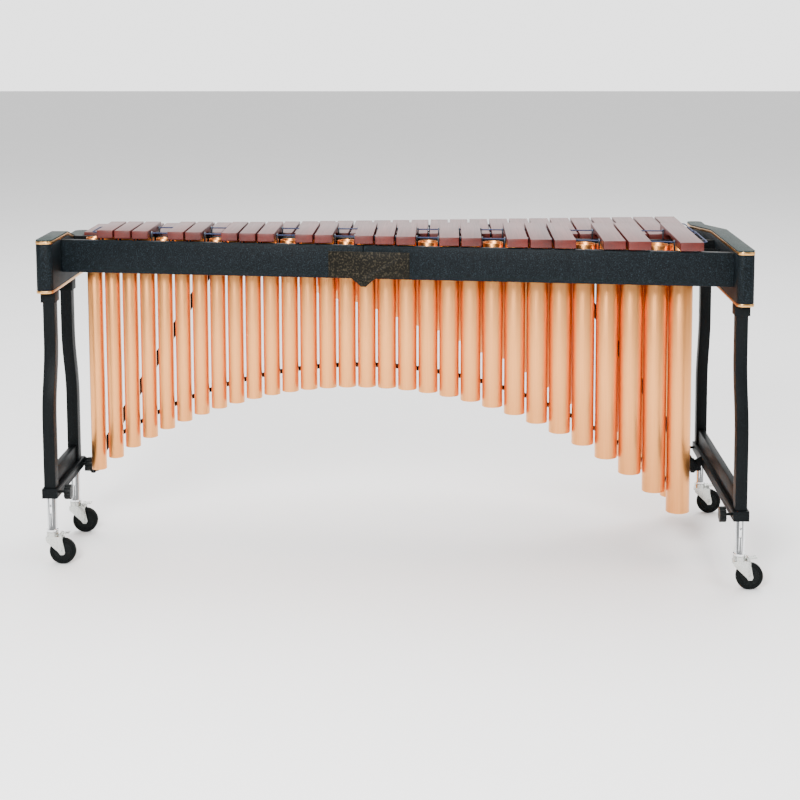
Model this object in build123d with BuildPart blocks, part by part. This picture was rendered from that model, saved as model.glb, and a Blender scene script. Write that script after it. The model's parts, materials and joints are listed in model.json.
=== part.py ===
"""Concert marimba, four and a third octaves (A2 to C7), on a wheeled, height-adjustable frame.

Millimetres. +X runs along the keyboard towards the low notes, -Y is the audience's side, where the
accidentals are, +Y is the player's side and +Z is up. The origin is on the floor, under the middle of
the bounding box. Positions below are measured from the middle of the frame, and save() moves each piece
by centre_x, because the casters trail past the frame at the low end.
"""
from build123d import *
from math import atan2, cos, degrees, radians, sin, sqrt
import os

# ---------------------------------------------------------------- frame sizes
frame_length = 2015.0            # outer face to outer face of the end blocks
block_thickness = 48.0
block_top = 952.0
block_height = 155.0
block_corner = 18.0
low_block_front, low_block_rear = -450.0, 462.0
high_block_front, high_block_rear = -245.0, 250.0
low_slope_start, low_slope_end = -10.0, 380.0        # the top falls between these Y
high_slope_start, high_slope_end = -50.0, 85.0
slope_drop = 37.0
panel_thickness = 4.0
trim_thickness = 8.0
trim_proud = 1.0

rail_thickness = 20.0
front_rail_height = 95.0
front_rail_drop = 14.0           # its top below the top of the end blocks
rear_rail_height = 70.0
rear_rail_drop = 52.0
rail_split_x = -70.0             # the long rails come apart here for transport
split_gap = 1.0
joint_plate_length = 234.0
joint_plate_height = 77.0
joint_plate_thickness = 3.0
joint_plate_drop = 17.0          # its top below the top of the rail
joint_plate_offset = 16.0        # its middle from the split
tongue_width = 68.0
tongue_tip = 14.0
tongue_drop = 24.0
tongue_pin_radius = 4.0

# ---------------------------------------------------------------- keyboard
natural_count = 31
keyboard_offset = -10.5          # the middle of the keyboard from the middle of the frame
bar_gap = 7.0
widest_bar = 64.9
bar_narrowing = 0.89             # each natural is this much narrower than its lower neighbour
narrowest_bar = 46.0
bar_thickness = 24.0
accidental_drop = 10.0           # underside of the accidentals below the top of the end blocks
row_step = 30.0                  # the naturals hang this far below the accidentals
nodal_share = 0.224              # a free bar is still at this share of its length from each end
arch_share = 0.5                 # length of the tuning arch under a bar, as a share of the bar
deepest_arch = 11.0
arch_shallowing = 0.25           # per note
# Y at the low end block and at the high end block
front_rail_line = (-395.0, -135.0)
rear_rail_line = (428.0, 242.0)
accidental_outer_line = (-405.0, -116.0)
accidental_inner_line = (28.0, 67.0)
natural_inner_line = (-7.0, 46.0)
natural_outer_line = (427.0, 231.0)
nodal_rail_thickness = 18.0
nodal_rail_clearance = 14.0      # below the bars
accidental_rail_height, natural_rail_height = 53.0, 48.0
post_width = 4.0                 # the stamped posts between the bars
post_depth = 10.0
post_above_cord = 5.0
cord_radius = 2.0
cord_bend = 14.0
cord_end_reach = 21.0            # from the last bar to where the cord crosses over

# ---------------------------------------------------------------- resonators
tube_wall = 1.6
tube_gap = 2.5
tube_gap_growth = 0.2            # per note
rear_tube_slack = 1.5            # the player's bank is this much slimmer, to clear the casters
front_tube_clearance = 10.0      # below the bars
rear_tube_clearance = 11.0
front_tube_line = (-201.0, -32.0)
rear_tube_line = (197.0, 138.0)
arch_radius = 1355.0             # of the line through the bottoms of the front bank
arch_crown_drop = 434.0          # the shortest tube of that bank
arch_middle_x = -70.0
lowest_hertz = 110.0
speed_of_sound = 344000.0        # mm per second
tube_length_factor = 1.04
stopper_setback = 18.0
stopper_thickness = 3.0
tube_rail_thickness = 3.0
tube_rail_height = 20.0
tube_rail_drop = 17.0            # its top below the mouths of the tubes
tube_rail_bite = 0.5             # the tubes are pressed this far flat against it
strap_height = 14.0
strap_above_bottom = 50.0
strap_bite = 1.0                 # the slimmer tubes in the middle still touch it

# ---------------------------------------------------------------- legs, base and braces
leg_inset = 27.5                 # leg centre from the outer face of the end block
leg_width = 33.0
leg_depth = 36.0
leg_splay = 40.0                 # the foot stands this far outside the top
bend_top, bend_bottom = 650.0, 430.0
collar_width, collar_depth, collar_height = 42.0, 48.0, 30.0
low_front_foot, low_rear_foot = -440.0, 232.0
high_front_foot, high_rear_foot = -235.0, 46.0
base_width, base_height, base_bottom = 44.0, 28.0, 200.0
base_overhang = 23.0
high_base_rear_overhang = 42.0   # carries the brace lug
stretcher_thickness, stretcher_height = 20.0, 49.0
brace_width, brace_thickness = 26.0, 8.0
brace_foot_x, brace_foot_z = 933.0, 195.0
low_brace_head_x, high_brace_head_x = 505.0, 522.0
lug_thickness = 6.0
lug_height = 46.0
knob_radius, knob_thickness = 21.5, 18.0
knob_lobes = 6
knob_scallop = 6.0
stud_radius = 4.0
stud_clearance = 0.08

# ---------------------------------------------------------------- height posts and casters
post_radius, post_clearance = 14.0, 0.1
post_bottom, post_top = 98.0, 345.0
post_collar_radius, post_collar_height = 17.0, 6.0
post_hole_radius, post_hole_pitch, first_post_hole, post_holes = 3.0, 26.0, 151.0, 2
kingpin_radius, kingpin_length, pin_clearance = 5.0, 20.0, 0.08
face_clearance = 0.3
swivel_radius = 17.0
yoke_bottom, yoke_thickness = 79.0, 4.0
cheek_thickness = 2.5
cheek_gap = 1.5                  # between the wheel and a cheek plate
cheek_top_width = 48.0
wheel_radius, wheel_width = 38.0, 22.0
hub_radius, hub_width = 27.0, 19.0
boss_radius = 11.0
axle_radius, axle_head_radius, axle_head = 4.0, 7.0, 2.5
caster_trail = 29.0
tyre_chamfer = 4.0
pedal_pivot_x, pedal_pivot_z = 25.0, 88.5
pedal_length, pedal_width, pedal_thickness = 24.0, 20.0, 3.0
pedal_boss_radius, pedal_pin_radius = 4.5, 1.6
pedal_tilt = 8.0
ear_thickness, ear_gap = 2.0, 0.4

# ---------------------------------------------------------------- places worked out from the sizes
block_outer = frame_length / 2
block_inner = block_outer - block_thickness
block_bottom = block_top - block_height
front_rail_top = block_top - front_rail_drop
rear_rail_top = block_top - rear_rail_drop
accidental_bottom = block_top - accidental_drop
natural_bottom = accidental_bottom - row_step
accidental_rail_top = accidental_bottom - nodal_rail_clearance
accidental_rail_bottom = accidental_rail_top - accidental_rail_height
natural_rail_top = natural_bottom - nodal_rail_clearance
natural_rail_bottom = natural_rail_top - natural_rail_height
brace_head_z = natural_rail_top - natural_rail_height / 2
front_tube_top = accidental_bottom - front_tube_clearance
rear_tube_top = natural_bottom - rear_tube_clearance
arch_crown = front_tube_top - arch_crown_drop
leg_x = block_outer - leg_inset
base_top = base_bottom + base_height
wheel_reach = leg_x + caster_trail + wheel_radius
block_reach = block_outer + trim_proud
centre_x = (block_reach - max(wheel_reach, block_reach)) / 2
natural_steps = (0, 2, 3, 5, 7, 8, 10)       # semitones of A B C D E F G above A


def along(line, x):
    """Y at x of a line given by its Y at the low and at the high end block."""
    low, high = line
    return low + (high - low) * (block_inner - x) / (2 * block_inner)


def line_between(line_a, line_b, share):
    """The line that lies a share of the way from line_a to line_b."""
    return tuple(a + share * (b - a) for a, b in zip(line_a, line_b))


def natural_width(i):
    return max(narrowest_bar, widest_bar - bar_narrowing * i)


def semitone(i):
    """Semitones of natural i above the lowest one."""
    return 12 * (i // 7) + natural_steps[i % 7]


natural_x = [0.0]
for i in range(1, natural_count):
    step = (natural_width(i - 1) + natural_width(i)) / 2 + bar_gap
    natural_x.append(natural_x[-1] - step)
keyboard_middle = (natural_x[0] + widest_bar / 2 + natural_x[-1] - natural_width(natural_count - 1) / 2) / 2
natural_x = [x - keyboard_middle + keyboard_offset for x in natural_x]
slot_x = [(a + b) / 2 for a, b in zip(natural_x, natural_x[1:])]
slot_pitch = [a - b for a, b in zip(natural_x, natural_x[1:])]
slots = range(natural_count - 1)
sharp_slots = [k for k in slots if semitone(k + 1) - semitone(k) == 2]

accidental_front_nodes = line_between(accidental_outer_line, accidental_inner_line, nodal_share)
accidental_rear_nodes = line_between(accidental_inner_line, accidental_outer_line, nodal_share)
natural_front_nodes = line_between(natural_inner_line, natural_outer_line, nodal_share)
natural_rear_nodes = line_between(natural_outer_line, natural_inner_line, nodal_share)

os.makedirs("parts", exist_ok=True)


def save(piece, name):
    placed = piece.part.moved(Location((centre_x, 0, 0)))
    placed.label = name
    export_step(placed, f"parts/{name}.step")


# ---------------------------------------------------------------- end blocks
def block_layer(side, front, rear, slope_start, slope_end, top_drop, bottom_drop, proud):
    """One layer of an end block: its side outline, with its plan corners rounded.

    A proud layer stands out at the front, the rear and the outer side, but not where the rails meet it.
    """
    middle_x = side * (block_inner + block_outer + proud) / 2
    outline = ((front - proud, 0), (slope_start, 0), (slope_end, -slope_drop), (rear + proud, -slope_drop))
    upper = [(y, block_top - top_drop + z) for y, z in outline]
    if bottom_drop is None:
        lower = [(rear + proud, block_bottom + trim_thickness), (front - proud, block_bottom + trim_thickness)]
    else:
        lower = [(y, block_top - bottom_drop + z) for y, z in reversed(outline)]
    with BuildPart() as layer:
        with BuildSketch(Plane.YZ.offset(middle_x)):
            with BuildLine():
                Polyline(*upper, *lower, close=True)
            make_face()
        extrude(amount=(block_thickness + proud) / 2, both=True)
        with BuildSketch(Plane.XY):
            with Locations((middle_x, (front + rear) / 2)):
                RectangleRounded(block_thickness + proud, rear - front + 2 * proud, block_corner)
        extrude(amount=block_top, mode=Mode.INTERSECT)
    return layer


for end, side, front, rear, slope_start, slope_end in (
    ("low", 1, low_block_front, low_block_rear, low_slope_start, low_slope_end),
    ("high", -1, high_block_front, high_block_rear, high_slope_start, high_slope_end),
):
    under_panel = panel_thickness
    under_trim = panel_thickness + trim_thickness
    body = block_layer(side, front, rear, slope_start, slope_end, under_trim, None, 0)
    save(body, f"{end}_end_block")
    panel = block_layer(side, front, rear, slope_start, slope_end, 0, under_panel, 0)
    save(panel, f"{end}_top_panel")
    top_band = block_layer(side, front, rear, slope_start, slope_end, under_panel, under_trim, trim_proud)
    with BuildPart() as trim:
        add(top_band.part)
        with BuildSketch(Plane.XY.offset(block_bottom)):
            with Locations((side * (block_inner + block_outer + trim_proud) / 2, (front + rear) / 2)):
                RectangleRounded(block_thickness + trim_proud, rear - front + 2 * trim_proud, block_corner)
        extrude(amount=trim_thickness)
    save(trim, f"{end}_block_trim")


# ---------------------------------------------------------------- long rails
def skew_board(line, x0, x1, near, far, bottom, top):
    """A board between two X that follows a slanting line, from near to far beside it in Y."""
    with BuildPart() as board:
        with BuildSketch(Plane.XY.offset(bottom)):
            with BuildLine():
                Polyline(
                    (x0, along(line, x0) + near),
                    (x1, along(line, x1) + near),
                    (x1, along(line, x1) + far),
                    (x0, along(line, x0) + far),
                    close=True,
                )
            make_face()
        extrude(amount=top - bottom)
    return board


low_side = (rail_split_x + split_gap / 2, block_inner)
high_side = (-block_inner, rail_split_x - split_gap / 2)


def split_board(line, near, far, bottom, top):
    """The same board in two lengths that meet at the split."""
    with BuildPart() as board:
        for x0, x1 in (low_side, high_side):
            add(skew_board(line, x0, x1, near, far, bottom, top).part)
    return board


front_bottom = front_rail_top - front_rail_height
for end, (x0, x1) in (("low", low_side), ("high", high_side)):
    rail = skew_board(front_rail_line, x0, x1, 0, rail_thickness, front_bottom, front_rail_top)
    save(rail, f"front_rail_{end}")
rear_bottom = rear_rail_top - rear_rail_height
save(split_board(rear_rail_line, -rail_thickness, 0, rear_bottom, rear_rail_top), "rear_rail")

rail_slope = (front_rail_line[0] - front_rail_line[1]) / (2 * block_inner)
plate_x = rail_split_x + joint_plate_offset
plate_bottom = front_rail_top - joint_plate_drop - joint_plate_height
plate_face = Plane(
    origin=(plate_x, along(front_rail_line, plate_x), plate_bottom),
    x_dir=(1, rail_slope, 0),
    z_dir=(rail_slope, -1, 0),
)
with BuildPart() as joint_plate:
    with BuildSketch(plate_face):
        with Locations((0, joint_plate_height / 2)):
            Rectangle(joint_plate_length, joint_plate_height)
        with BuildLine():
            Polyline(
                (-joint_plate_offset - tongue_width / 2, 0),
                (-joint_plate_offset - tongue_tip / 2, -tongue_drop),
                (-joint_plate_offset + tongue_tip / 2, -tongue_drop),
                (-joint_plate_offset + tongue_width / 2, 0),
                close=True,
            )
        make_face()
    extrude(amount=joint_plate_thickness)
    with BuildSketch(plate_face.offset(joint_plate_thickness)):
        with Locations((-joint_plate_offset, -tongue_drop / 2 + 4)):
            Circle(tongue_pin_radius)
    extrude(amount=tongue_pin_radius)
save(joint_plate, "rail_joint_plate")

# ---------------------------------------------------------------- rails under the still points of the bars
for name, line, bottom, top in (
    ("accidental_front_rail", accidental_front_nodes, accidental_rail_bottom, accidental_rail_top),
    ("accidental_rear_rail", accidental_rear_nodes, accidental_rail_bottom, accidental_rail_top),
    ("natural_front_rail", natural_front_nodes, natural_rail_bottom, natural_rail_top),
    ("natural_rear_rail", natural_rear_nodes, natural_rail_bottom, natural_rail_top),
):
    save(split_board(line, -nodal_rail_thickness / 2, nodal_rail_thickness / 2, bottom, top), name)


# ---------------------------------------------------------------- bars
def arch_depth(i):
    return max(deepest_arch - arch_shallowing * i, 2.0)


def bar_row(bars, front_line, rear_line, bottom):
    """A row of bars, each with the tuning arch in its underside; bars gives X, width and arch depth."""
    with BuildPart() as row:
        for x, width, depth in bars:
            front, rear = along(front_line, x), along(rear_line, x)
            middle = (front + rear) / 2
            half_arch = arch_share * (rear - front) / 2
            with BuildSketch(Plane.YZ.offset(x)):
                with BuildLine():
                    Polyline(
                        (middle + half_arch, bottom),
                        (rear, bottom),
                        (rear, bottom + bar_thickness),
                        (front, bottom + bar_thickness),
                        (front, bottom),
                        (middle - half_arch, bottom),
                    )
                    ThreePointArc(
                        (middle - half_arch, bottom),
                        (middle, bottom + depth),
                        (middle + half_arch, bottom),
                    )
                make_face()
            extrude(amount=width / 2, both=True)
    return row


naturals = [(x, natural_width(i), arch_depth(i)) for i, x in enumerate(natural_x)]
sharps = [(slot_x[k], slot_pitch[k] - bar_gap, arch_depth(k)) for k in sharp_slots]
save(bar_row(naturals, natural_inner_line, natural_outer_line, natural_bottom), "natural_bars")
save(bar_row(sharps, accidental_outer_line, accidental_inner_line, accidental_bottom), "accidental_bars")

# ---------------------------------------------------------------- posts between the bars, and the cords
natural_posts = [x + side * (natural_width(i) + bar_gap) / 2 for i, x in enumerate(natural_x) for side in (1, -1)]
sharp_posts = [slot_x[k] + side * slot_pitch[k] / 2 for k in sharp_slots for side in (1, -1)]
accidental_cord_z = accidental_bottom + bar_thickness / 2
natural_cord_z = natural_bottom + bar_thickness / 2


def apart(places):
    """The places with neighbours nearer than one gap taken once."""
    kept = []
    for x in sorted(places, reverse=True):
        if not kept or kept[-1] - x > bar_gap:
            kept.append(x)
    return kept


with BuildPart() as bar_posts:
    for places, lines, bottom, cord_z in (
        (apart(sharp_posts), (accidental_front_nodes, accidental_rear_nodes), accidental_rail_top, accidental_cord_z),
        (apart(natural_posts), (natural_front_nodes, natural_rear_nodes), natural_rail_top, natural_cord_z),
    ):
        with BuildSketch(Plane.XY.offset(bottom)):
            for line in lines:
                with Locations(*[(x, along(line, x)) for x in places]):
                    Rectangle(post_width, post_depth)
        extrude(amount=cord_z + post_above_cord - bottom)
save(bar_posts, "bar_posts")


def cord_loop(front_line, rear_line, low_x, high_x, z):
    """A cord through the bars along one still line, round past the last bar and back along the other."""
    corners = [
        (low_x, along(front_line, low_x), z),
        (low_x, along(rear_line, low_x), z),
        (high_x, along(rear_line, high_x), z),
        (high_x, along(front_line, high_x), z),
    ]
    with BuildPart() as loop:
        with BuildLine():
            route = FilletPolyline(*corners, radius=cord_bend, close=True)
        with BuildSketch(Plane(origin=route @ 0, z_dir=route % 0)):
            Circle(cord_radius)
        sweep(path=route)
    return loop


accidental_ends = (
    slot_x[sharp_slots[0]] + slot_pitch[sharp_slots[0]] / 2 + cord_end_reach,
    slot_x[sharp_slots[-1]] - slot_pitch[sharp_slots[-1]] / 2 - cord_end_reach,
)
natural_ends = (
    natural_x[0] + (widest_bar + bar_gap) / 2 + cord_bend + cord_radius,
    natural_x[-1] - (natural_width(natural_count - 1) + bar_gap) / 2 - cord_radius - post_width,
)
save(
    cord_loop(accidental_front_nodes, accidental_rear_nodes, *accidental_ends, accidental_cord_z),
    "accidental_cord",
)
save(cord_loop(natural_front_nodes, natural_rear_nodes, *natural_ends, natural_cord_z), "natural_cord")


# ---------------------------------------------------------------- resonators
def tube_radius(k, pitch):
    return (pitch - tube_gap - tube_gap_growth * k) / 2


def front_tube_bottom(x):
    return arch_crown - arch_radius + sqrt(arch_radius**2 - (x - arch_middle_x) ** 2)


def rear_tube_length(i):
    hertz = lowest_hertz * 2 ** (semitone(i) / 12)
    return tube_length_factor * speed_of_sound / (4 * hertz) + stopper_setback


def tube_bank(tubes, line, top):
    """A bank of tubes, open at the mouth and closed at the bottom; each has X, radius and bottom."""
    with BuildPart() as bank:
        for x, radius, bottom in tubes:
            with BuildSketch(Plane.XY.offset(bottom)):
                with Locations((x, along(line, x))):
                    Circle(radius)
            extrude(amount=top - bottom)
            with BuildSketch(Plane.XY.offset(top)):
                with Locations((x, along(line, x))):
                    Circle(radius - tube_wall)
            extrude(amount=-(top - bottom - stopper_thickness), mode=Mode.SUBTRACT)
    return bank


front_radii = [tube_radius(k, slot_pitch[k]) for k in slots]
rear_pitch = [slot_pitch[0]] + slot_pitch
rear_radii = [tube_radius(i, rear_pitch[i]) - rear_tube_slack for i in range(natural_count)]
front_tubes = [(x, front_radii[k], front_tube_bottom(x)) for k, x in enumerate(slot_x)]
rear_tubes = [(x, rear_radii[i], rear_tube_top - rear_tube_length(i)) for i, x in enumerate(natural_x)]
save(tube_bank(front_tubes, front_tube_line, front_tube_top), "front_resonators")
save(tube_bank(rear_tubes, rear_tube_line, rear_tube_top), "rear_resonators")


def tube_rails(line, xs, radii, top):
    """The two flat rails that a bank of tubes is riveted between, bent where the tubes stop narrowing."""
    bend = next(k for k, _ in enumerate(xs) if natural_width(k + 1) <= narrowest_bar)
    with BuildPart() as rails:
        with BuildSketch(Plane.XY.offset(top - tube_rail_drop - tube_rail_height)):
            for side in (-1, 1):
                near = [(xs[k], along(line, xs[k]) + side * (radii[k] - tube_rail_bite)) for k in (0, bend, -1)]
                first_slope = (near[0][1] - near[1][1]) / (near[0][0] - near[1][0])
                last_slope = (near[1][1] - near[2][1]) / (near[1][0] - near[2][0])
                inside = [
                    (block_inner, near[0][1] + first_slope * (block_inner - near[0][0])),
                    near[1],
                    (-block_inner, near[2][1] + last_slope * (-block_inner - near[2][0])),
                ]
                outside = [(x, y + side * tube_rail_thickness) for x, y in reversed(inside)]
                with BuildLine():
                    Polyline(*inside, *outside, close=True)
                make_face()
        extrude(amount=tube_rail_height)
    return rails


save(tube_rails(front_tube_line, slot_x, front_radii, front_tube_top), "front_tube_rails")
save(tube_rails(rear_tube_line, natural_x, rear_radii, rear_tube_top), "rear_tube_rails")

# The strap that ties the lower ends of the front bank together runs behind the tubes, along the arch.
first_back = along(front_tube_line, slot_x[0]) + front_radii[0]
last_back = along(front_tube_line, slot_x[-1]) + front_radii[-1]
strap_slope = (first_back - last_back) / (slot_x[0] - slot_x[-1])
strap_run = sqrt(1 + strap_slope**2)
strap_y = last_back + strap_slope * (arch_middle_x - slot_x[-1])
strap_plane = Plane(
    origin=(arch_middle_x, strap_y - strap_bite, 0),
    x_dir=(1, strap_slope, 0),
    z_dir=(strap_slope, -1, 0),
)
strap_x = [slot_x[0], arch_middle_x, slot_x[-1]]
strap_u = [(x - arch_middle_x) * strap_run for x in strap_x]
strap_z = [front_tube_bottom(x) + strap_above_bottom for x in strap_x]
with BuildPart() as strap:
    with BuildSketch(strap_plane):
        with BuildLine():
            lower = ThreePointArc(*zip(strap_u, strap_z))
            upper = ThreePointArc(*zip(strap_u, [z + strap_height for z in strap_z]))
            Line(lower @ 0, upper @ 0)
            Line(lower @ 1, upper @ 1)
        make_face()
    extrude(amount=-tube_rail_thickness)
save(strap, "front_tube_strap")


# ---------------------------------------------------------------- knobs
def star_knob(face, stud_length):
    """A scalloped hand knob standing on a plane, with its stud going down through the plane."""
    with BuildPart() as knob:
        with BuildSketch(face):
            Circle(knob_radius)
            with PolarLocations(knob_radius + knob_scallop / 2, knob_lobes):
                Circle(knob_scallop, mode=Mode.SUBTRACT)
        extrude(amount=knob_thickness)
        with BuildSketch(face):
            Circle(stud_radius)
        extrude(amount=-stud_length)
    return knob


# ---------------------------------------------------------------- the two leg frames
for end, side, front_foot, rear_foot, rear_overhang, brace_head_x in (
    ("low", 1, low_front_foot, low_rear_foot, base_overhang, low_brace_head_x),
    ("high", -1, high_front_foot, high_rear_foot, high_base_rear_overhang, high_brace_head_x),
):
    x = side * leg_x
    inner_face = side * (leg_x - base_width / 2)
    for corner, foot_y, inward in (("front", front_foot, 1), ("rear", rear_foot, -1)):
        top_y = foot_y + inward * leg_splay
        with BuildPart() as leg:
            with BuildSketch(Plane.YZ.offset(x)):
                with BuildLine():
                    for edge in (-leg_depth / 2, leg_depth / 2):
                        Line((foot_y + edge, base_top), (foot_y + edge, bend_bottom))
                        Spline(
                            (foot_y + edge, bend_bottom),
                            (top_y + edge, bend_top),
                            tangents=((0, 1), (0, 1)),
                        )
                        Line((top_y + edge, bend_top), (top_y + edge, block_bottom))
                    Line((foot_y - leg_depth / 2, base_top), (foot_y + leg_depth / 2, base_top))
                    Line((top_y - leg_depth / 2, block_bottom), (top_y + leg_depth / 2, block_bottom))
                make_face()
            extrude(amount=leg_width / 2, both=True)
            with BuildSketch(Plane.XY.offset(block_bottom)):
                with Locations((x, top_y)):
                    Rectangle(collar_width, collar_depth)
            extrude(amount=-collar_height)
            with BuildSketch(Plane.XY.offset(base_top)):
                with Locations((x, foot_y)):
                    Circle(post_radius + post_clearance)
            extrude(amount=bend_bottom - base_top, mode=Mode.SUBTRACT)
        save(leg, f"{end}_{corner}_leg")

        with BuildPart() as height_post:
            with BuildSketch(Plane.XY.offset(post_bottom)):
                with Locations((x, foot_y)):
                    Circle(post_radius)
            extrude(amount=post_top - post_bottom)
            with BuildSketch(Plane.XY.offset(post_bottom)):
                with Locations((x, foot_y)):
                    Circle(post_collar_radius)
            extrude(amount=post_collar_height)
            with BuildSketch(Plane.XY.offset(post_bottom)):
                with Locations((x, foot_y)):
                    Circle(kingpin_radius + pin_clearance)
            extrude(amount=kingpin_length, mode=Mode.SUBTRACT)
            with BuildSketch(Plane.XZ.offset(-foot_y)):
                for n in range(post_holes):
                    with Locations((x, first_post_hole + n * post_hole_pitch)):
                        Circle(post_hole_radius)
            extrude(amount=post_radius + 1, both=True, mode=Mode.SUBTRACT)
        save(height_post, f"{end}_{corner}_height_post")

        # the lock knob's stud goes through the base bar up to the post
        knob_plane = Plane(
            origin=(inner_face - side * knob_thickness, foot_y, base_bottom + base_height / 2),
            x_dir=(0, 1, 0),
            z_dir=(-side, 0, 0),
        )
        stud_length = knob_thickness + base_width / 2 - post_radius - face_clearance
        save(star_knob(knob_plane, stud_length), f"{end}_{corner}_height_knob")

        # caster: yoke with its cheeks, kingpin, axle and the ears of the brake pedal
        axle_x = x + caster_trail
        cheek_y = wheel_width / 2 + cheek_gap
        with BuildPart() as fork:
            with BuildSketch(Plane.XY.offset(yoke_bottom)):
                with Locations((x + cheek_top_width / 2 - swivel_radius, foot_y)):
                    Rectangle(cheek_top_width, 2 * (cheek_y + cheek_thickness))
            extrude(amount=yoke_thickness)
            for y0 in (foot_y + cheek_y, foot_y - cheek_y - cheek_thickness):
                with BuildSketch(Plane.XZ.offset(-y0)):
                    with BuildLine():
                        Polyline(
                            (x - swivel_radius, yoke_bottom + yoke_thickness),
                            (x - swivel_radius, yoke_bottom - 8),
                            (axle_x - 9, wheel_radius - 2),
                            (axle_x - 5, wheel_radius - 9),
                            (axle_x + 5, wheel_radius - 9),
                            (axle_x + 9, wheel_radius - 2),
                            (x + cheek_top_width - swivel_radius, yoke_bottom - 8),
                            (x + cheek_top_width - swivel_radius, yoke_bottom + yoke_thickness),
                            close=True,
                        )
                    make_face()
                extrude(amount=-cheek_thickness)
            with BuildSketch(Plane.XY.offset(yoke_bottom + yoke_thickness)):
                with Locations((x, foot_y)):
                    Circle(swivel_radius)
            extrude(amount=post_bottom - face_clearance - yoke_bottom - yoke_thickness)
            with BuildSketch(Plane.XY.offset(post_bottom - face_clearance)):
                with Locations((x, foot_y)):
                    Circle(kingpin_radius)
            extrude(amount=kingpin_length)
            with BuildSketch(Plane.XZ.offset(-foot_y)):
                with Locations((axle_x, wheel_radius)):
                    Circle(axle_radius)
            extrude(amount=cheek_y + cheek_thickness + axle_head, both=True)
            ear_y = pedal_width / 2 + ear_gap
            for y0 in (foot_y + ear_y, foot_y - ear_y - ear_thickness):
                with BuildSketch(Plane.XZ.offset(-y0)):
                    with Locations((x + pedal_pivot_x, (pedal_pivot_z + 4 + yoke_bottom + yoke_thickness) / 2)):
                        Rectangle(8, pedal_pivot_z + 4 - yoke_bottom - yoke_thickness)
                extrude(amount=-ear_thickness)
            with BuildSketch(Plane.XZ.offset(-foot_y)):
                with Locations((x + pedal_pivot_x, pedal_pivot_z)):
                    Circle(pedal_pin_radius)
            extrude(amount=ear_y + ear_thickness / 2, both=True)
        save(fork, f"{end}_{corner}_caster_fork")

        with BuildPart() as pedal:
            with BuildSketch(Plane.XZ.offset(-foot_y)):
                with Locations((x + pedal_pivot_x, pedal_pivot_z)):
                    Circle(pedal_boss_radius)
                with Locations(
                    Location(
                        (
                            x + pedal_pivot_x + cos(radians(pedal_tilt)) * pedal_length / 2,
                            pedal_pivot_z + sin(radians(pedal_tilt)) * pedal_length / 2,
                        ),
                        pedal_tilt,
                    )
                ):
                    Rectangle(pedal_length, pedal_thickness)
                with Locations((x + pedal_pivot_x, pedal_pivot_z)):
                    Circle(pedal_pin_radius + pin_clearance, mode=Mode.SUBTRACT)
            extrude(amount=pedal_width / 2, both=True)
        save(pedal, f"{end}_{corner}_brake_pedal")

        wheel_plane = Plane(origin=(axle_x, foot_y, wheel_radius), x_dir=(1, 0, 0), z_dir=(0, 0, 1))
        wheel_axis = Axis((axle_x, foot_y, wheel_radius), (0, 1, 0))
        with BuildPart() as tyre:
            with BuildSketch(wheel_plane):
                with BuildLine():
                    Polyline(
                        (hub_radius, -wheel_width / 2),
                        (wheel_radius - tyre_chamfer, -wheel_width / 2),
                        (wheel_radius, -wheel_width / 2 + tyre_chamfer),
                        (wheel_radius, wheel_width / 2 - tyre_chamfer),
                        (wheel_radius - tyre_chamfer, wheel_width / 2),
                        (hub_radius, wheel_width / 2),
                        close=True,
                    )
                make_face()
            revolve(axis=wheel_axis)
        save(tyre, f"{end}_{corner}_caster_tyre")

        with BuildPart() as hub:
            with BuildSketch(wheel_plane):
                with BuildLine():
                    Polyline(
                        (axle_radius + pin_clearance, -wheel_width / 2 - 1),
                        (boss_radius, -wheel_width / 2 - 1),
                        (boss_radius, -hub_width / 2),
                        (hub_radius, -hub_width / 2),
                        (hub_radius, hub_width / 2),
                        (boss_radius, hub_width / 2),
                        (boss_radius, wheel_width / 2 + 1),
                        (axle_radius + pin_clearance, wheel_width / 2 + 1),
                        close=True,
                    )
                make_face()
            revolve(axis=wheel_axis)
        save(hub, f"{end}_{corner}_caster_hub")

    # base bar, with the bores for the posts, the tapped holes for the studs and the lug for the brace
    base_front, base_rear = front_foot - base_overhang, rear_foot + rear_overhang
    lug_front = along(natural_front_nodes, side * brace_head_x) - nodal_rail_thickness / 2
    brace_front = lug_front - brace_thickness
    with BuildPart() as base_bar:
        with BuildSketch(Plane.XY.offset(base_bottom)):
            with Locations((x, (base_front + base_rear) / 2)):
                Rectangle(base_width, base_rear - base_front)
            with Locations((x, front_foot), (x, rear_foot)):
                Circle(post_radius + post_clearance, mode=Mode.SUBTRACT)
        extrude(amount=base_height)
        with BuildSketch(Plane.XZ.offset(-lug_front)):
            with BuildLine():
                Polyline(
                    (inner_face, base_top),
                    (inner_face, base_top - lug_height),
                    (side * (brace_foot_x - 12), brace_foot_z - 14),
                    (side * (brace_foot_x - 12), brace_foot_z + 10),
                    close=True,
                )
            make_face()
        extrude(amount=-lug_thickness)
        with BuildSketch(Plane.XZ.offset(-lug_front)):
            with Locations((side * brace_foot_x, brace_foot_z)):
                Circle(stud_radius + stud_clearance)
        extrude(amount=-lug_thickness, mode=Mode.SUBTRACT)
        with BuildSketch(Plane.YZ.offset(inner_face)):
            with Locations((front_foot, base_bottom + base_height / 2), (rear_foot, base_bottom + base_height / 2)):
                Circle(stud_radius + stud_clearance)
        extrude(amount=side * base_width / 2, mode=Mode.SUBTRACT)
    save(base_bar, f"{end}_base_bar")

    with BuildPart() as stretcher:
        with BuildSketch(Plane.XY.offset(base_top)):
            with Locations((x, (front_foot + rear_foot) / 2)):
                Rectangle(stretcher_thickness, rear_foot - front_foot - leg_depth)
        extrude(amount=stretcher_height)
    save(stretcher, f"{end}_stretcher")

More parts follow.
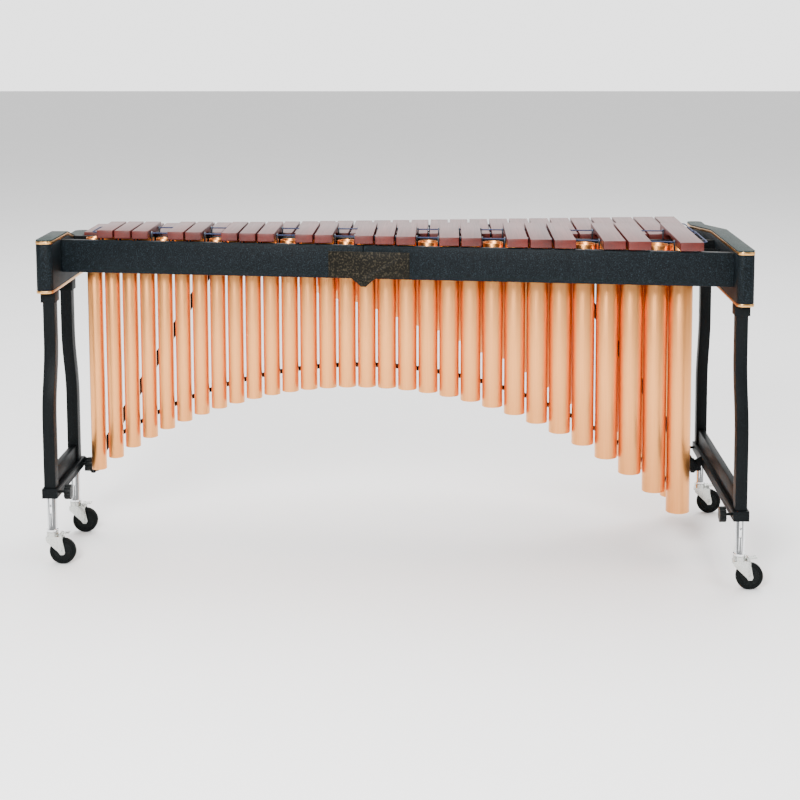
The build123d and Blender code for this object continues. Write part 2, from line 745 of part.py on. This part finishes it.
    head_x, foot_x = side * brace_head_x, side * brace_foot_x
    rise, run = brace_head_z - brace_foot_z, head_x - foot_x
    with BuildPart() as brace:
        with BuildSketch(Plane.XZ.offset(-brace_front)):
            middle = ((head_x + foot_x) / 2, (brace_head_z + brace_foot_z) / 2)
            with Locations(Location(middle, degrees(atan2(rise, run)))):
                SlotCenterToCenter(sqrt(rise**2 + run**2), brace_width)
            with Locations((foot_x, brace_foot_z)):
                Circle(stud_radius + stud_clearance, mode=Mode.SUBTRACT)
        extrude(amount=-brace_thickness)
    save(brace, f"{end}_brace")

    brace_knob_plane = Plane(
        origin=(foot_x, lug_front + lug_thickness + face_clearance, brace_foot_z), x_dir=(1, 0, 0), z_dir=(0, 1, 0)
    )
    save(star_knob(brace_knob_plane, lug_thickness + brace_thickness), f"{end}_brace_knob")
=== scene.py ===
"""Looks of a concert marimba: rosewood bars over gold tubes on a black wheeled frame."""

import math

import bpy
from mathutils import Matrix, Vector
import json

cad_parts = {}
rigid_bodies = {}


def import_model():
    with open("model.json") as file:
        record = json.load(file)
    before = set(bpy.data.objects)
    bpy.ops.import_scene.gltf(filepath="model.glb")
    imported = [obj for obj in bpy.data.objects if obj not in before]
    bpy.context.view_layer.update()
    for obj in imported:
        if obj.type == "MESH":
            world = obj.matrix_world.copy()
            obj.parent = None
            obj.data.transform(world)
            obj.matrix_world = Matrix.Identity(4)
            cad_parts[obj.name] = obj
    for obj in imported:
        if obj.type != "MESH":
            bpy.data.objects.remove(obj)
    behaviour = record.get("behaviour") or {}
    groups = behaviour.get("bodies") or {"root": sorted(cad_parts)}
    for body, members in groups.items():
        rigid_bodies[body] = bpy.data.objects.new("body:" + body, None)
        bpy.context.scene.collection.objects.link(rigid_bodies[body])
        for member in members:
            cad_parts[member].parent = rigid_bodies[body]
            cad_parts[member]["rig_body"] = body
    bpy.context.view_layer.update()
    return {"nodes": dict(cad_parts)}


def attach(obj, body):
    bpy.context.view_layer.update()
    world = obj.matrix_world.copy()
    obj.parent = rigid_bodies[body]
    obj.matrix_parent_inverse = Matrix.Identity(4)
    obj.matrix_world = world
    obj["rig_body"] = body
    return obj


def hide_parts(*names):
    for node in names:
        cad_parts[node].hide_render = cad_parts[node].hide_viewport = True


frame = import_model()

# ---------------------------------------------------------------- camera
# A long lens in front of the audience's side, above the bars and towards the low notes.
# The lens is shifted down, so that the tubes and legs stay nearly upright.
camera_place = (0.149, -4.585, 1.574)
camera_pitch = math.radians(84)
bpy.ops.object.camera_add(location=camera_place, rotation=(camera_pitch, 0, 0))
camera = bpy.context.object
camera.data.sensor_width = 36
camera.data.lens = 69.25
camera.data.shift_x = -0.0588
camera.data.shift_y = -0.272
bpy.context.scene.camera = camera


# ---------------------------------------------------------------- studio
# White paper in a bright room, with three square lights: one in front at the left, a weaker one at the
# right, and a large one overhead.
def srgb(code):
    """A #RRGGBB colour as linear red, green, blue and alpha."""
    values = [int(code[i:i + 2], 16) / 255 for i in (1, 3, 5)]
    return tuple(v / 12.92 if v <= 0.04045 else ((v + 0.055) / 1.055) ** 2.4 for v in values) + (1.0,)


def node(tree, kind, inputs=None, **settings):
    """Adds one shader node; an input is a value, or an output socket to link from."""
    made = tree.nodes.new(kind)
    for name, value in settings.items():
        setattr(made, name, value)
    for name, value in (inputs or {}).items():
        if isinstance(value, bpy.types.NodeSocket):
            tree.links.new(value, made.inputs[name])
        else:
            made.inputs[name].default_value = value
    return made


def surface(name):
    """A new material with a node tree, its Principled shader and its Object coordinates."""
    material = bpy.data.materials.new(name)
    material.use_nodes = True
    tree = material.node_tree
    shader = tree.nodes["Principled BSDF"]
    place = node(tree, "ShaderNodeTexCoord").outputs["Object"]
    return material, tree, shader, place


# The room is bright behind the instrument, and dim at its sides and in front of it.
room_dim, room_bright = 0.4, 2.6
world = bpy.data.worlds.new("studio_white")
world.use_nodes = True
tree = world.node_tree
facing = node(tree, "ShaderNodeTexCoord").outputs["Generated"]
axes = node(tree, "ShaderNodeSeparateXYZ", {"Vector": facing})
room = node(tree, "ShaderNodeMapRange", {
    "Value": axes.outputs["Y"],
    "From Min": 0.1, "From Max": 0.7,
    "To Min": room_dim, "To Max": room_bright,
})
background = tree.nodes["Background"]
background.inputs["Color"].default_value = srgb("#FFFFFF")
tree.links.new(room.outputs["Result"], background.inputs["Strength"])
bpy.context.scene.world = world

for name, place, aim, size, power in (
    ("key_light", (-0.9, -4.4, 2.9), (0, 0, 0.6), 1.5, 420),
    ("side_light", (3.2, -2.4, 2.2), (0.2, 0, 0.6), 1.6, 40),
    ("top_light", (0.0, 1.4, 6.5), (0, 0.6, 0), 6.0, 700),
):
    direction = Vector(aim) - Vector(place)
    turn = direction.to_track_quat("-Z", "Y").to_euler()
    bpy.ops.object.light_add(type="AREA", location=place, rotation=turn)
    light = bpy.context.object
    light.name = name
    light.data.size = size
    light.data.energy = power

floor_size, floor_drop = 60, 0.0005
bpy.ops.mesh.primitive_plane_add(size=floor_size, location=(0, 0, -floor_drop))
floor = bpy.context.object
floor.name = "studio_floor"
paper, tree, shader, place = surface("white_paper")
grain = node(tree, "ShaderNodeTexNoise", {"Vector": place, "Scale": 3.0})
tone = node(tree, "ShaderNodeMixRGB", {
    "Fac": grain.outputs["Fac"], "Color1": srgb("#FFFFFF"), "Color2": srgb("#FBFBFB"),
})
tree.links.new(tone.outputs["Color"], shader.inputs["Base Color"])
shader.inputs["Roughness"].default_value = 0.9
floor.data.materials.append(paper)


# ---------------------------------------------------------------- end blocks and rails
# Wooden boxes and boards under a fine-textured black lacquer with a slight glitter in it.
merge_distance = 0.00002
flat_angle, corner_angle, smooth_angle = (math.radians(degrees) for degrees in (0.6, 35, 32))


def eased_copy(name, material, edge, segments=2):
    """A piece with the CAD node's shape, its corners eased and its round faces smooth."""
    source = frame["nodes"][name]
    piece = bpy.data.objects.new("fine_" + name, source.data.copy())
    bpy.context.scene.collection.objects.link(piece)
    bpy.ops.object.select_all(action="DESELECT")
    piece.select_set(True)
    bpy.context.view_layer.objects.active = piece
    piece.data.materials.clear()
    piece.data.materials.append(material)
    for polygon in piece.data.polygons:
        polygon.material_index = 0
    bpy.ops.object.mode_set(mode="EDIT")
    bpy.ops.mesh.select_all(action="SELECT")
    bpy.ops.mesh.remove_doubles(threshold=merge_distance)
    bpy.ops.mesh.dissolve_limited(angle_limit=flat_angle)
    bpy.ops.object.mode_set(mode="OBJECT")
    if edge:
        bevel = piece.modifiers.new("eased_edges", "BEVEL")
        bevel.width = edge
        bevel.segments = segments
        bevel.limit_method = "ANGLE"
        bevel.angle_limit = corner_angle
        bevel.use_clamp_overlap = True
        bpy.ops.object.modifier_apply(modifier=bevel.name)
    bpy.ops.object.shade_smooth_by_angle(angle=smooth_angle)
    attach(piece, source["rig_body"])
    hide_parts(name)
    return piece


coat_shine, gloss_spread, pebble_depth = 0.06, 0.06, 0.0004


def textured_coat(name, dark, light, grit, roughness, bump):
    """Lacquer or powder coat with a fine grit: tiny lighter specks and a pebbled surface."""
    material, tree, shader, place = surface(name)
    fine = node(tree, "ShaderNodeTexNoise", {"Vector": place, "Scale": 1 / grit, "Detail": 3.0})
    broad = node(tree, "ShaderNodeTexNoise", {"Vector": place, "Scale": 9.0, "Detail": 2.0})
    specks = node(tree, "ShaderNodeMapRange", {
        "Value": fine.outputs["Fac"], "From Min": 0.5, "From Max": 0.75,
    })
    colour = node(tree, "ShaderNodeMixRGB", {
        "Fac": specks.outputs["Result"], "Color1": srgb(dark), "Color2": srgb(light),
    })
    tree.links.new(colour.outputs["Color"], shader.inputs["Base Color"])
    gloss = node(tree, "ShaderNodeMapRange", {
        "Value": broad.outputs["Fac"], "To Min": roughness - gloss_spread, "To Max": roughness + gloss_spread,
    })
    tree.links.new(gloss.outputs["Result"], shader.inputs["Roughness"])
    pebbles = node(tree, "ShaderNodeBump", {
        "Height": fine.outputs["Fac"], "Strength": bump, "Distance": pebble_depth,
    })
    tree.links.new(pebbles.outputs["Normal"], shader.inputs["Normal"])
    shader.inputs["Specular IOR Level"].default_value = coat_shine
    return material


black_lacquer = textured_coat("textured_black_lacquer", "#0A0E10", "#283238", 0.0022, 0.5, 0.4)
black_powder = textured_coat("black_powder_coat", "#0A0C0D", "#1B2124", 0.0016, 0.45, 0.3)
panel_laminate = textured_coat("grey_green_laminate", "#1F2826", "#4A5654", 0.003, 0.55, 0.5)
hammered = textured_coat("hammered_olive_paint", "#12110D", "#3A3428", 0.005, 0.45, 0.8)
stained_rail = textured_coat("black_stained_wood", "#0A0B0C", "#181C1E", 0.003, 0.5, 0.3)

for end in ("low", "high"):
    eased_copy(f"{end}_end_block", black_lacquer, 0.0015)
    eased_copy(f"{end}_top_panel", panel_laminate, 0.001)
    eased_copy(f"front_rail_{end}", black_lacquer, 0.002)
eased_copy("rear_rail", black_lacquer, 0.002)
eased_copy("rail_joint_plate", hammered, 0.0008)
for row in ("accidental", "natural"):
    for line in ("front", "rear"):
        eased_copy(f"{row}_{line}_rail", stained_rail, 0.001)


# ---------------------------------------------------------------- gold edging of the end blocks
# Anodised aluminium bands round the top and bottom of each block, satin, with fine drawn lines.
def satin_metal(name, shade, tint, roughness, streak):
    """Metal with fine drawn lines along its length; streak is their spacing in metres along X, Y and Z."""
    material, tree, shader, place = surface(name)
    spread = node(tree, "ShaderNodeMapping", {"Vector": place, "Scale": tuple(1 / s for s in streak)})
    lines = node(tree, "ShaderNodeTexNoise", {
        "Vector": spread.outputs["Vector"], "Scale": 1.0, "Detail": 4.0,
    })
    colour = node(tree, "ShaderNodeMixRGB", {
        "Fac": lines.outputs["Fac"], "Color1": srgb(shade), "Color2": srgb(tint),
    })
    tree.links.new(colour.outputs["Color"], shader.inputs["Base Color"])
    gloss = node(tree, "ShaderNodeMapRange", {
        "Value": lines.outputs["Fac"], "To Min": roughness - 0.05, "To Max": roughness + 0.07,
    })
    tree.links.new(gloss.outputs["Result"], shader.inputs["Roughness"])
    scratch = node(tree, "ShaderNodeBump", {
        "Height": lines.outputs["Fac"], "Strength": 0.08, "Distance": 0.0002,
    })
    tree.links.new(scratch.outputs["Normal"], shader.inputs["Normal"])
    shader.inputs["Metallic"].default_value = 1.0
    return material


gold_band = satin_metal("gold_anodised_band", "#C98F4C", "#E8B878", 0.28, (0.02, 0.02, 0.0008))
for end in ("low", "high"):
    eased_copy(f"{end}_block_trim", gold_band, 0.001)

# ---------------------------------------------------------------- bars
# Rosewood boards planed and polished, darker and lighter along the row, with the grain along Y.
rosewood, tree, shader, place = surface("polished_rosewood")
stretched = node(tree, "ShaderNodeMapping", {"Vector": place, "Scale": (260.0, 5.0, 260.0)})
grain = node(tree, "ShaderNodeTexNoise", {
    "Vector": stretched.outputs["Vector"], "Scale": 1.0, "Detail": 8.0, "Roughness": 0.65, "Distortion": 0.6,
})
patches = node(tree, "ShaderNodeMapping", {"Vector": place, "Scale": (15.0, 0.4, 6.0)})
tones = node(tree, "ShaderNodeTexNoise", {
    "Vector": patches.outputs["Vector"], "Scale": 1.0, "Detail": 1.0,
})
heart = node(tree, "ShaderNodeMixRGB", {
    "Fac": tones.outputs["Fac"], "Color1": srgb("#320A06"), "Color2": srgb("#6A1E14"),
})
streaks = node(tree, "ShaderNodeMapRange", {
    "Value": grain.outputs["Fac"], "From Min": 0.44, "From Max": 0.72, "To Max": 0.6,
})
wood = node(tree, "ShaderNodeMixRGB", {
    "Fac": streaks.outputs["Result"], "Color1": heart.outputs["Color"], "Color2": srgb("#180A08"),
})
tree.links.new(wood.outputs["Color"], shader.inputs["Base Color"])
pores = node(tree, "ShaderNodeBump", {
    "Height": grain.outputs["Fac"], "Strength": 0.12, "Distance": 0.0003,
})
tree.links.new(pores.outputs["Normal"], shader.inputs["Normal"])
polish = node(tree, "ShaderNodeMapRange", {
    "Value": grain.outputs["Fac"], "To Min": 0.34, "To Max": 0.5,
})
tree.links.new(polish.outputs["Result"], shader.inputs["Roughness"])
shader.inputs["Coat Weight"].default_value = 0.15
shader.inputs["Specular IOR Level"].default_value = 0.3
shader.inputs["Coat Roughness"].default_value = 0.3
for row in ("natural", "accidental"):
    eased_copy(f"{row}_bars", rosewood, 0.0016, 3)

# ---------------------------------------------------------------- cords and their posts
# Braided cord, blue with a pale fleck, through every bar, on thin stamped posts in dark sleeves.
cord_braid, tree, shader, place = surface("braided_blue_cord")
weave = node(tree, "ShaderNodeTexVoronoi", {"Vector": place, "Scale": 420.0})
fleck = node(tree, "ShaderNodeMixRGB", {
    "Fac": weave.outputs["Distance"], "Color1": srgb("#0C1026"), "Color2": srgb("#3A4468"),
})
tree.links.new(fleck.outputs["Color"], shader.inputs["Base Color"])
strands = node(tree, "ShaderNodeBump", {
    "Height": weave.outputs["Distance"], "Strength": 0.6, "Distance": 0.0006,
})
tree.links.new(strands.outputs["Normal"], shader.inputs["Normal"])
shader.inputs["Roughness"].default_value = 0.8
for row in ("natural", "accidental"):
    eased_copy(f"{row}_cord", cord_braid, 0)
post_metal = satin_metal("sleeved_steel", "#1C2024", "#5B6470", 0.35, (0.002, 0.002, 0.01))
eased_copy("bar_posts", post_metal, 0.0008)

# ---------------------------------------------------------------- resonators
# Drawn aluminium tubes, closed at the foot, anodised in a warm copper gold with a satin surface.
tube_gold = satin_metal("copper_gold_anodised_tube", "#E89650", "#F4AC68", 0.36, (0.003, 0.003, 0.12))
for bank in ("front", "rear"):
    eased_copy(f"{bank}_resonators", tube_gold, 0.0005)
    eased_copy(f"{bank}_tube_rails", black_powder, 0.0005)
eased_copy("front_tube_strap", black_powder, 0.0005)

# ---------------------------------------------------------------- legs, base bars and braces
# Bent steel tube and flat bar under black powder coat.
for end in ("low", "high"):
    for corner in ("front", "rear"):
        eased_copy(f"{end}_{corner}_leg", black_powder, 0.004, 3)
    eased_copy(f"{end}_base_bar", black_powder, 0.002)
    eased_copy(f"{end}_stretcher", black_powder, 0.002)
    eased_copy(f"{end}_brace", black_powder, 0.0015)

# ---------------------------------------------------------------- height posts, knobs and casters
# Chromed posts, moulded star knobs, and zinc-plated pressed casters with black rubber tyres.
chrome = satin_metal("polished_chrome", "#D8DADC", "#F4F5F6", 0.1, (0.01, 0.01, 0.05))
zinc = satin_metal("zinc_plate", "#B4B6B2", "#D6D8D3", 0.26, (0.004, 0.004, 0.004))
rubber = textured_coat("black_rubber", "#0A0C0C", "#1C1F1F", 0.002, 0.6, 0.3)
nylon = textured_coat("moulded_black_nylon", "#0E1010", "#202424", 0.004, 0.35, 0.15)
for end in ("low", "high"):
    eased_copy(f"{end}_brace_knob", nylon, 0.002, 3)
    for corner in ("front", "rear"):
        base = f"{end}_{corner}_"
        eased_copy(base + "height_post", chrome, 0.0008)
        eased_copy(base + "height_knob", nylon, 0.002, 3)
        eased_copy(base + "caster_fork", zinc, 0.0006)
        eased_copy(base + "brake_pedal", zinc, 0.0006)
        eased_copy(base + "caster_tyre", rubber, 0.002, 3)
        eased_copy(base + "caster_hub", nylon, 0.0008)
